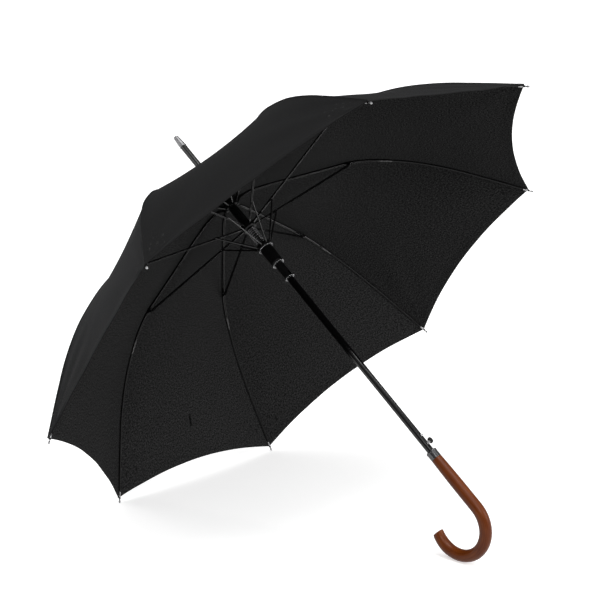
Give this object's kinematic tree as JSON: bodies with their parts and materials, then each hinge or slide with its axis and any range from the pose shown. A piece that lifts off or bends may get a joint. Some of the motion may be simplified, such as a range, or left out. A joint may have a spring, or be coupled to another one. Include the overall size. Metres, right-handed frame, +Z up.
{
  "type": "stick umbrella",
  "caption": "Open stick umbrella with fabric canopy on steel ribs and stretchers, sliding runner with short struts, push-button catch, lacquered shaft and curved wooden crook handle.",
  "frame": {"origin": "centre of the bounding box on the floor it lies on", "axes": "+Z up; +X horizontal, from the crook towards the ferrule; +Y across the umbrella. The open umbrella lies on the tips of ribs 1 and 8 and on the back of its crook"},
  "size_m": [0.7206, 0.9552, 0.7534],
  "materials": {
    "canopy_fabric": "taut black woven pongee, matt, faint sparkle of the weave",
    "black_lacquer": "gloss black lacquered steel tube",
    "collar_black": "gloss black plated collar",
    "black_steel": "satin black coated steel",
    "black_plastic": "satin black moulded plastic",
    "bright_steel": "bright nickel-plated steel",
    "wood": "red-brown stained wood under satin lacquer"
  },
  "bodies": {
    "shaft": {"shaft_tube": "black_lacquer", "ferrule_tip": "bright_steel", "top_cap": "black_plastic", "top_notch": "black_plastic", "top_notch_wire": "bright_steel", "stop_sleeve": "black_plastic", "handle_collar": "collar_black", "handle_crook": "wood", "catch_spring": "bright_steel"},
    "rib_set_1": {"rib_1": "black_steel", "rib_tip_1": "bright_steel", "canopy_panel_1": "canopy_fabric"},
    "rib_set_2": {"rib_2": "black_steel", "rib_tip_2": "bright_steel", "canopy_panel_2": "canopy_fabric"},
    "rib_set_3": {"rib_3": "black_steel", "rib_tip_3": "bright_steel", "canopy_panel_3": "canopy_fabric"},
    "rib_set_4": {"rib_4": "black_steel", "rib_tip_4": "bright_steel", "canopy_panel_4": "canopy_fabric"},
    "rib_set_5": {"rib_5": "black_steel", "rib_tip_5": "bright_steel", "canopy_panel_5": "canopy_fabric"},
    "rib_set_6": {"rib_6": "black_steel", "rib_tip_6": "bright_steel", "canopy_panel_6": "canopy_fabric"},
    "rib_set_7": {"rib_7": "black_steel", "rib_tip_7": "bright_steel", "canopy_panel_7": "canopy_fabric"},
    "rib_set_8": {"rib_8": "black_steel", "rib_tip_8": "bright_steel", "canopy_panel_8": "canopy_fabric", "tie_strap": "canopy_fabric", "strap_snap": "black_steel"},
    "stretcher_bar_1": {"stretcher_1": "black_steel"},
    "stretcher_bar_2": {"stretcher_2": "black_steel"},
    "stretcher_bar_3": {"stretcher_3": "black_steel"},
    "stretcher_bar_4": {"stretcher_4": "black_steel"},
    "stretcher_bar_5": {"stretcher_5": "black_steel"},
    "stretcher_bar_6": {"stretcher_6": "black_steel"},
    "stretcher_bar_7": {"stretcher_7": "black_steel"},
    "stretcher_bar_8": {"stretcher_8": "black_steel"},
    "sliding_notch": {"stretcher_notch": "black_plastic", "stretcher_notch_wire": "bright_steel", "main_spring": "bright_steel"},
    "runner": {"runner_body": "black_plastic", "runner_wire": "bright_steel", "runner_top_ring": "bright_steel", "runner_middle_ring": "bright_steel", "runner_end_ring": "bright_steel"},
    "strut_bar_1": {"strut_1": "black_steel"},
    "strut_bar_2": {"strut_2": "black_steel"},
    "strut_bar_3": {"strut_3": "black_steel"},
    "strut_bar_4": {"strut_4": "black_steel"},
    "strut_bar_5": {"strut_5": "black_steel"},
    "strut_bar_6": {"strut_6": "black_steel"},
    "strut_bar_7": {"strut_7": "black_steel"},
    "strut_bar_8": {"strut_8": "black_steel"},
    "button": {"release_button": "bright_steel"}
  },
  "joints": [
    {"name": "canopy_fold", "type": "hinge", "parent": "shaft", "child": "rib_set_1", "pos_m": [0.21952, 0.00421, 0.52023], "axis": [-0.2365, 0.9239, 0.3009], "range_deg": [0, 63.6], "stiffness_Nm_per_rad": 1.6, "springref_deg": -68.75, "deforming": ["canopy_panel_1"]},
    {"name": "rib_2_fold", "type": "hinge", "parent": "shaft", "child": "rib_set_2", "pos_m": [0.21585, 0.01016, 0.52491], "axis": [-0.571, 0.3827, 0.7263], "range_deg": [0, 63.73], "deforming": ["canopy_panel_2"]},
    {"name": "rib_3_fold", "type": "hinge", "parent": "shaft", "child": "rib_set_3", "pos_m": [0.21064, 0.01016, 0.53153], "axis": [-0.571, -0.3827, 0.7263], "range_deg": [0, 63.73], "deforming": ["canopy_panel_3"]},
    {"name": "rib_4_fold", "type": "hinge", "parent": "shaft", "child": "rib_set_4", "pos_m": [0.20696, 0.00421, 0.53621], "axis": [-0.2365, -0.9239, 0.3009], "range_deg": [0, 63.73], "deforming": ["canopy_panel_4"]},
    {"name": "rib_5_fold", "type": "hinge", "parent": "shaft", "child": "rib_set_5", "pos_m": [0.20696, -0.00421, 0.53621], "axis": [0.2365, -0.9239, -0.3009], "range_deg": [0, 63.73], "deforming": ["canopy_panel_5"]},
    {"name": "rib_6_fold", "type": "hinge", "parent": "shaft", "child": "rib_set_6", "pos_m": [0.21064, -0.01016, 0.53153], "axis": [0.571, -0.3827, -0.7263], "range_deg": [0, 63.73], "deforming": ["canopy_panel_6"]},
    {"name": "rib_7_fold", "type": "hinge", "parent": "shaft", "child": "rib_set_7", "pos_m": [0.21585, -0.01016, 0.52491], "axis": [0.571, 0.3827, -0.7263], "range_deg": [0, 63.73], "deforming": ["canopy_panel_7"]},
    {"name": "rib_8_fold", "type": "hinge", "parent": "shaft", "child": "rib_set_8", "pos_m": [0.21952, -0.00421, 0.52023], "axis": [0.2365, 0.9239, -0.3009], "range_deg": [0, 63.73], "deforming": ["canopy_panel_8", "tie_strap", "strap_snap"]},
    {"name": "stretcher_1_swing", "type": "hinge", "parent": "rib_set_1", "child": "stretcher_bar_1", "pos_m": [0.33424, 0.09506, 0.33143], "axis": [-0.2365, 0.9239, 0.3009], "range_deg": [-127.46, 0]},
    {"name": "stretcher_2_swing", "type": "hinge", "parent": "rib_set_2", "child": "stretcher_bar_2", "pos_m": [0.25116, 0.22949, 0.43711], "axis": [-0.571, 0.3827, 0.7263], "range_deg": [-127.46, 0]},
    {"name": "stretcher_3_swing", "type": "hinge", "parent": "rib_set_3", "child": "stretcher_bar_3", "pos_m": [0.13366, 0.22949, 0.58658], "axis": [-0.571, -0.3827, 0.7263], "range_deg": [-127.46, 0]},
    {"name": "stretcher_4_swing", "type": "hinge", "parent": "rib_set_4", "child": "stretcher_bar_4", "pos_m": [0.05058, 0.09506, 0.69227], "axis": [-0.2365, -0.9239, 0.3009], "range_deg": [-127.46, 0]},
    {"name": "stretcher_5_swing", "type": "hinge", "parent": "rib_set_5", "child": "stretcher_bar_5", "pos_m": [0.05058, -0.09506, 0.69227], "axis": [0.2365, -0.9239, -0.3009], "range_deg": [-127.46, 0]},
    {"name": "stretcher_6_swing", "type": "hinge", "parent": "rib_set_6", "child": "stretcher_bar_6", "pos_m": [0.13366, -0.22949, 0.58658], "axis": [0.571, -0.3827, -0.7263], "range_deg": [-127.46, 0]},
    {"name": "stretcher_7_swing", "type": "hinge", "parent": "rib_set_7", "child": "stretcher_bar_7", "pos_m": [0.25116, -0.22949, 0.43711], "axis": [0.571, 0.3827, -0.7263], "range_deg": [-127.46, 0]},
    {"name": "stretcher_8_swing", "type": "hinge", "parent": "rib_set_8", "child": "stretcher_bar_8", "pos_m": [0.33424, -0.09506, 0.33143], "axis": [0.2365, 0.9239, -0.3009], "range_deg": [-127.46, 0]},
    {"name": "notch_hinge", "type": "hinge", "parent": "stretcher_bar_1", "child": "sliding_notch", "pos_m": [0.17786, 0.00421, 0.48748], "axis": [-0.2365, 0.9239, 0.3009], "range_deg": [0, 63.73]},
    {"name": "runner_slide", "type": "slide", "parent": "sliding_notch", "child": "runner", "axis": [0.7862, 0, 0.618], "range_m": [0, 0.02579], "deforming": ["main_spring"]},
    {"name": "strut_1_swing", "type": "hinge", "parent": "stretcher_bar_1", "child": "strut_bar_1", "pos_m": [0.21386, 0.02513, 0.45155], "axis": [-0.2365, 0.9239, 0.3009], "range_deg": [0, 32.41]},
    {"name": "strut_2_swing", "type": "hinge", "parent": "stretcher_bar_2", "child": "strut_bar_2", "pos_m": [0.1919, 0.06066, 0.47948], "axis": [-0.571, 0.3827, 0.7263], "range_deg": [0, 32.41]},
    {"name": "strut_3_swing", "type": "hinge", "parent": "stretcher_bar_3", "child": "strut_bar_3", "pos_m": [0.16084, 0.06066, 0.51899], "axis": [-0.571, -0.3827, 0.7263], "range_deg": [0, 32.41]},
    {"name": "strut_4_swing", "type": "hinge", "parent": "stretcher_bar_4", "child": "strut_bar_4", "pos_m": [0.13888, 0.02513, 0.54693], "axis": [-0.2365, -0.9239, 0.3009], "range_deg": [0, 32.41]},
    {"name": "strut_5_swing", "type": "hinge", "parent": "stretcher_bar_5", "child": "strut_bar_5", "pos_m": [0.13888, -0.02513, 0.54693], "axis": [0.2365, -0.9239, -0.3009], "range_deg": [0, 32.41]},
    {"name": "strut_6_swing", "type": "hinge", "parent": "stretcher_bar_6", "child": "strut_bar_6", "pos_m": [0.16084, -0.06066, 0.51899], "axis": [0.571, -0.3827, -0.7263], "range_deg": [0, 32.41]},
    {"name": "strut_7_swing", "type": "hinge", "parent": "stretcher_bar_7", "child": "strut_bar_7", "pos_m": [0.1919, -0.06066, 0.47948], "axis": [0.571, 0.3827, -0.7263], "range_deg": [0, 32.41]},
    {"name": "strut_8_swing", "type": "hinge", "parent": "stretcher_bar_8", "child": "strut_bar_8", "pos_m": [0.21386, -0.02513, 0.45155], "axis": [0.2365, 0.9239, -0.3009], "range_deg": [0, 32.41]},
    {"name": "release_button_press", "type": "slide", "parent": "shaft", "child": "button", "axis": [0.618, 0, -0.7862], "range_m": [0, 0.0028], "stiffness_N_per_m": 350, "springref_m": -0.003, "deforming": ["catch_spring"]}
  ],
  "couplings": [
    {"joint": "rib_2_fold", "follows": "canopy_fold", "ratio": 1},
    {"joint": "rib_3_fold", "follows": "canopy_fold", "ratio": 1},
    {"joint": "rib_4_fold", "follows": "canopy_fold", "ratio": 1},
    {"joint": "rib_5_fold", "follows": "canopy_fold", "ratio": 1},
    {"joint": "rib_6_fold", "follows": "canopy_fold", "ratio": 1},
    {"joint": "rib_7_fold", "follows": "canopy_fold", "ratio": 1},
    {"joint": "rib_8_fold", "follows": "canopy_fold", "ratio": 1},
    {"joint": "stretcher_1_swing", "follows": "canopy_fold", "ratio": -2},
    {"joint": "stretcher_2_swing", "follows": "canopy_fold", "ratio": -2},
    {"joint": "stretcher_3_swing", "follows": "canopy_fold", "ratio": -2},
    {"joint": "stretcher_4_swing", "follows": "canopy_fold", "ratio": -2},
    {"joint": "stretcher_5_swing", "follows": "canopy_fold", "ratio": -2},
    {"joint": "stretcher_6_swing", "follows": "canopy_fold", "ratio": -2},
    {"joint": "stretcher_7_swing", "follows": "canopy_fold", "ratio": -2},
    {"joint": "stretcher_8_swing", "follows": "canopy_fold", "ratio": -2},
    {"joint": "notch_hinge", "follows": "canopy_fold", "ratio": 1},
    {"joint": "runner_slide", "follows": "canopy_fold", "m_per_rad": 0.023183},
    {"joint": "strut_1_swing", "follows": "canopy_fold", "ratio": 0.50847},
    {"joint": "strut_2_swing", "follows": "canopy_fold", "ratio": 0.50847},
    {"joint": "strut_3_swing", "follows": "canopy_fold", "ratio": 0.50847},
    {"joint": "strut_4_swing", "follows": "canopy_fold", "ratio": 0.50847},
    {"joint": "strut_5_swing", "follows": "canopy_fold", "ratio": 0.50847},
    {"joint": "strut_6_swing", "follows": "canopy_fold", "ratio": 0.50847},
    {"joint": "strut_7_swing", "follows": "canopy_fold", "ratio": 0.50847},
    {"joint": "strut_8_swing", "follows": "canopy_fold", "ratio": 0.50847}
  ]
}
